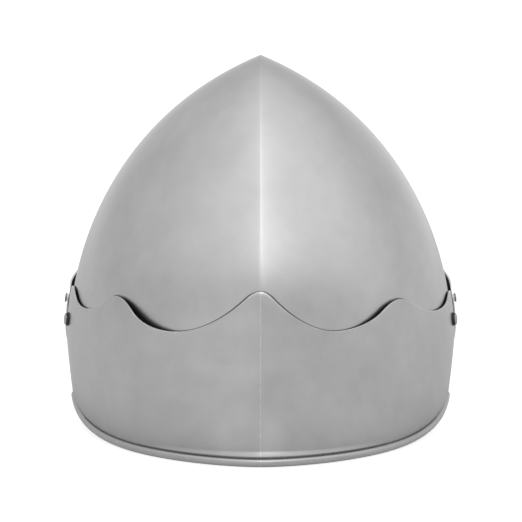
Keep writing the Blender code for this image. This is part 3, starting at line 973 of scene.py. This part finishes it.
def make_cloud_group():
    """Broad faint patches left by planishing and polishing: two noises, mixed into one factor about 1."""
    group, given, result = new_group(
        "planished_tone",
        (("Vector", "NodeSocketVector", None), ("Amount", "NodeSocketFloat", 0.05)),
        (("Tone", "NodeSocketFloat"), ("Patch", "NodeSocketFloat")),
    )
    broad = noise(group, given.outputs["Vector"], 38.0, 2.0)
    small = noise(group, given.outputs["Vector"], 130.0, 3.0, 0.55)
    both = mixed(group, broad, small, CLOUD_BROAD_SHARE)
    centred = math_node(group, "SUBTRACT", both, 0.5)
    swing = math_node(group, "MULTIPLY", centred, given.outputs["Amount"])
    tone = math_node(group, "MULTIPLY_ADD", swing, CLOUD_SWING, 1.0)
    link(group, tone, result.inputs["Tone"])
    link(group, both, result.inputs["Patch"])
    return group


def make_grain_group():
    """Fine polishing lines: noise squeezed across the lines' direction, in two directions, as a mask and a height."""
    group, given, result = new_group(
        "polishing_lines",
        (("Vector", "NodeSocketVector", None), ("Scale", "NodeSocketFloat", 1.0)),
        (("Lines", "NodeSocketFloat"), ("Height", "NodeSocketFloat")),
    )
    first = mapped(group, given.outputs["Vector"], (2600.0, 2600.0, 120.0), rotation=(0.12, 0.25, 0.0))
    second = mapped(group, given.outputs["Vector"], (180.0, 180.0, 3000.0), rotation=(0.2, -0.35, 0.0))
    one = noise(group, first, given.outputs["Scale"], 2.0)
    two = noise(group, second, given.outputs["Scale"], 2.0)
    both = mixed(group, one, two, LINE_FIRST_SHARE)
    link(group, both, result.inputs["Lines"])
    link(group, both, result.inputs["Height"])
    return group


def make_edge_group():
    """Brighter edges, partly rubbed polish and partly painted highlight: a falling mask of the attribute edge_mm,
    broken up by a noise.
    """
    group, given, result = new_group(
        "edge_polish_and_highlight",
        (("Vector", "NodeSocketVector", None), ("Width", "NodeSocketFloat", 1.2)),
        (("Mask", "NodeSocketFloat"),),
    )
    attribute = group.nodes.new("ShaderNodeAttribute")
    attribute.attribute_name = "edge_mm"
    broken = noise(group, given.outputs["Vector"], 500.0, 2.0)
    width = math_node(group, "MULTIPLY", given.outputs["Width"], math_node(group, "ADD", broken, 0.5))
    share = math_node(group, "DIVIDE", attribute.outputs["Fac"], width)
    mask = math_node(group, "SUBTRACT", 1.0, share, clamp=True)
    link(group, mask, result.inputs["Mask"])
    return group


def make_crevice_group():
    """Painted shade beside an edge, from the attribute crevice: full at 0, gone at a share of 1 and well inside.

    The attribute rim_painted_shade, which only the lame has, adds its broad soft painted shade above the rolled rim.
    """
    group, given, result = new_group(
        "crevice_painted_shade",
        (("Vector", "NodeSocketVector", None), ("Depth", "NodeSocketFloat", 0.8)),
        (("Tone", "NodeSocketFloat"),),
    )
    rim = group.nodes.new("ShaderNodeAttribute")
    rim.attribute_name = "rim_painted_shade"
    rim_tone = math_node(group, "MULTIPLY_ADD", rim.outputs["Fac"], -RIM_SHADE_DEPTH, 1.0)
    attribute = group.nodes.new("ShaderNodeAttribute")
    attribute.attribute_name = "crevice"
    broken = noise(group, given.outputs["Vector"], 260.0, 2.0)
    share = math_node(group, "DIVIDE", attribute.outputs["Fac"], math_node(group, "ADD", broken, 0.5))
    outside = math_node(group, "SUBTRACT", 1.0, share, clamp=True)
    signed = attribute.outputs["Fac"]
    inside = math_node(group, "MULTIPLY_ADD", signed, CREVICE_INSIDE_FALL, CREVICE_INSIDE_LEVEL, clamp=True)
    mask = math_node(group, "MULTIPLY", outside, inside)
    dark = math_node(group, "MULTIPLY", mask, given.outputs["Depth"])
    tone = math_node(group, "MULTIPLY", math_node(group, "SUBTRACT", 1.0, dark), rim_tone)
    link(group, tone, result.inputs["Tone"])
    return group


GROUPS = {}


def place_group(tree, name, vector, **values):
    """Places a shared group in a material, with its own values for the named sockets."""
    node = tree.nodes.new("ShaderNodeGroup")
    node.node_tree = GROUPS[name]
    link(tree, vector, node.inputs["Vector"])
    for socket_name, value in values.items():
        node.inputs[socket_name].default_value = value
    return node


def steel_material(name, colour, roughness, cloud, bump, edge_colour=None, edge_width=0.0, painted_shade=0.0):
    """Satin steel: cloudy tone and roughness, fine lines, a brighter edge that is partly painted highlight, painted
    shade in crevices and a faint bump.
    """
    material = bpy.data.materials.new(name)
    material.use_nodes = True
    tree = material.node_tree
    shader = tree.nodes["Principled BSDF"]
    coordinates = tree.nodes.new("ShaderNodeTexCoord").outputs["Object"]
    tone = place_group(tree, "planished_tone", coordinates, Amount=cloud)
    lines = place_group(tree, "polishing_lines", coordinates, Scale=1.0)
    base = tree.nodes.new("ShaderNodeMix")
    base.data_type = "RGBA"
    base.inputs["A"].default_value = (*colour, 1.0)
    base.inputs["Factor"].default_value = 0.0
    # Brighter edges: partly polish, partly painted highlight
    if edge_colour:
        base.inputs["B"].default_value = (*edge_colour, 1.0)
        edge = place_group(tree, "edge_polish_and_highlight", coordinates, Width=edge_width)
        link(tree, edge.outputs["Mask"], base.inputs["Factor"])
    scaled = tree.nodes.new("ShaderNodeVectorMath")
    scaled.operation = "SCALE"
    link(tree, base.outputs["Result"], scaled.inputs[0])
    line_tone = math_node(tree, "MULTIPLY_ADD", lines.outputs["Lines"], LINE_TONE, 1 - LINE_TONE / 2)
    total_tone = math_node(tree, "MULTIPLY", tone.outputs["Tone"], line_tone)
    # Painted shade darkens the tone in crevices and above the lame's rolled rim
    if painted_shade > 0:
        crevice = place_group(tree, "crevice_painted_shade", coordinates, Depth=painted_shade)
        total_tone = math_node(tree, "MULTIPLY", total_tone, crevice.outputs["Tone"])
    link(tree, total_tone, scaled.inputs["Scale"])
    link(tree, scaled.outputs["Vector"], shader.inputs["Base Color"])
    shader.inputs["Metallic"].default_value = 1.0
    lowest = roughness - CLOUD_ROUGHNESS / 2
    patch = math_node(tree, "MULTIPLY_ADD", tone.outputs["Patch"], CLOUD_ROUGHNESS, lowest)
    rough = math_node(tree, "MULTIPLY_ADD", lines.outputs["Lines"], LINE_ROUGHNESS, patch)
    link(tree, rough, shader.inputs["Roughness"])
    height = tree.nodes.new("ShaderNodeBump")
    height.inputs["Strength"].default_value = 1.0
    height.inputs["Distance"].default_value = bump
    link(tree, lines.outputs["Height"], height.inputs["Height"])
    link(tree, height.outputs["Normal"], shader.inputs["Normal"])
    return material


def washer_material():
    """Near-black, with a fine mottle in its colour and roughness."""
    material = bpy.data.materials.new("near_black_washer")
    material.use_nodes = True
    tree = material.node_tree
    shader = tree.nodes["Principled BSDF"]
    coordinates = tree.nodes.new("ShaderNodeTexCoord").outputs["Object"]
    mottle = noise(tree, coordinates, 900.0, 3.0)
    ramp = tree.nodes.new("ShaderNodeValToRGB")
    ramp.color_ramp.elements[0].color = (*WASHER_DARK, 1.0)
    ramp.color_ramp.elements[1].color = (*WASHER_LIGHT, 1.0)
    link(tree, mottle, ramp.inputs["Fac"])
    link(tree, ramp.outputs["Color"], shader.inputs["Base Color"])
    link(tree, math_node(tree, "MULTIPLY_ADD", mottle, 0.25, 0.5), shader.inputs["Roughness"])
    return material


def make_materials():
    """The shared groups first, then each finish by its name in the table, and the washer's."""
    GROUPS["planished_tone"] = make_cloud_group()
    GROUPS["polishing_lines"] = make_grain_group()
    GROUPS["edge_polish_and_highlight"] = make_edge_group()
    GROUPS["crevice_painted_shade"] = make_crevice_group()
    materials = {finish: steel_material(**values) for finish, values in FINISHES.items()}
    materials["washer"] = washer_material()
    return materials


# Stage, light and camera


def add_floor():
    """A wide white floor. The camera sees it partly self-lit; the steel sees it as plain pale ground."""
    far = FLOOR_REACH
    points = np.array([[(-far, -far, 0.0), (far, -far, 0.0)], [(-far, far, 0.0), (far, far, 0.0)]])
    floor = grid_object("floor", points)
    floor.location.z = -FLOOR_DROP
    material = bpy.data.materials.new("white_floor")
    material.use_nodes = True
    tree = material.node_tree
    shader = tree.nodes["Principled BSDF"]
    seen = tree.nodes.new("ShaderNodeLightPath").outputs["Is Camera Ray"]
    paint = tree.nodes.new("ShaderNodeMix")
    paint.data_type = "RGBA"
    link(tree, seen, paint.inputs["Factor"])
    paint.inputs["A"].default_value = (FLOOR_PAINT, FLOOR_PAINT, FLOOR_PAINT, 1.0)
    paint.inputs["B"].default_value = (FLOOR_SEEN_PAINT, FLOOR_SEEN_PAINT, FLOOR_SEEN_PAINT, 1.0)
    link(tree, paint.outputs["Result"], shader.inputs["Base Color"])
    shader.inputs["Roughness"].default_value = 1.0
    shader.inputs["Specular IOR Level"].default_value = 0.0
    shader.inputs["Emission Color"].default_value = (1.0, 1.0, 1.0, 1.0)
    light = math_node(tree, "MULTIPLY_ADD", seen, FLOOR_SEEN_LIGHT - FLOOR_LIGHT, FLOOR_LIGHT)
    link(tree, light, shader.inputs["Emission Strength"])
    floor.data.materials.append(material)


def direction(azimuth, elevation):
    """Unit vector at degrees of azimuth from +Y toward +X, and of elevation."""
    turn = math.radians(azimuth)
    tilt = math.radians(elevation)
    return Vector((math.sin(turn) * math.cos(tilt), math.cos(turn) * math.cos(tilt), math.sin(tilt)))


def dot_with(tree, vector, axis):
    """The dot product of a vector socket and a fixed direction."""
    node = tree.nodes.new("ShaderNodeVectorMath")
    node.operation = "DOT_PRODUCT"
    link(tree, vector, node.inputs[0])
    node.inputs[1].default_value = axis
    return node.outputs["Value"]


def soft_glow(tree, sky, azimuth, elevation, wide, high, strength):
    """A soft bright patch of sky: strength times e to the minus of (across / wide) squared plus (up / high) squared."""
    centre = direction(azimuth, elevation)
    across = direction(azimuth + 90, 0)
    up = across.cross(centre)
    terms = []
    for axis, spread in ((across, wide), (up, high)):
        share = math_node(tree, "DIVIDE", dot_with(tree, sky, axis), spread)
        terms.append(math_node(tree, "MULTIPLY", share, share))
    power = math_node(tree, "MULTIPLY", math_node(tree, "ADD", *terms), -1.0)
    glow = math_node(tree, "POWER", math.e, power)
    facing = math_node(tree, "MULTIPLY", dot_with(tree, sky, centre), GLOW_FACING, clamp=True)
    return math_node(tree, "MULTIPLY", math_node(tree, "MULTIPLY", glow, facing), strength)


def add_world():
    """A pale studio: an even tone, a little darker on the right, with the soft patches of the table of glows."""
    world = bpy.data.worlds.new("studio")
    bpy.context.scene.world = world
    world.use_nodes = True
    tree = world.node_tree
    background = tree.nodes["Background"]
    sky = tree.nodes.new("ShaderNodeTexCoord").outputs["Generated"]
    total = math_node(tree, "MULTIPLY_ADD", dot_with(tree, sky, (1.0, 0.0, 0.0)), SKY_SIDE_SLOPE, SKY_TONE)
    above = math_node(tree, "MAXIMUM", dot_with(tree, sky, (0.0, 0.0, 1.0)), 0.0)
    total = math_node(tree, "MULTIPLY_ADD", above, SKY_RISE, total)
    for row in GLOW_ROWS:
        total = math_node(tree, "ADD", total, soft_glow(tree, sky, *row))
    background.inputs["Color"].default_value = (1.0, 1.0, 1.0, 1.0)
    link(tree, total, background.inputs["Strength"])


def add_camera():
    """Looks from behind at the photograph's height; the lens fits the frame's width at the target's distance."""
    tilt = math.radians(CAMERA_ELEVATION)
    target = Vector(CAMERA_TARGET)
    data = bpy.data.cameras.new("camera")
    data.sensor_width = SENSOR_MM
    data.lens = SENSOR_MM * CAMERA_DISTANCE / FRAME_WIDTH
    camera = bpy.data.objects.new("camera", data)
    camera.location = target + Vector((0.0, math.cos(tilt), math.sin(tilt))) * CAMERA_DISTANCE
    camera.rotation_euler = (target - camera.location).to_track_quat("-Z", "Y").to_euler()
    bpy.context.scene.collection.objects.link(camera)
    bpy.context.scene.camera = camera


def main():
    """Builds the camera, the fine pieces in place of the frame's, the floor and the sky."""
    add_camera()
    seats = rivet_seats()
    materials = make_materials()
    plates = (
        (build_skull(seats), "skull", "skull", "skull_steel", "outer"),
        (build_neck_lame(seats), "neck_lame", "neck_lame", "lame_steel", "lame"),
        (build_visor(seats), "visor", "visor", "visor_steel", "visor"),
    )
    for plate, node, body, slot, finish in plates:
        plate.data.materials.clear()
        plate.data.materials.append(materials[finish])
        plate.data.materials.append(materials["inner"])
        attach(plate, body)
        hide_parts(node)
    for node, piece in build_rivets(seats):
        kind = "washer" if "washer" in node else "rivet"
        piece.data.materials.append(materials[kind])
        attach(piece, "skull")
        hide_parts(node)
    add_floor()
    add_world()
    bpy.context.scene.view_settings.view_transform = "Standard"


main()
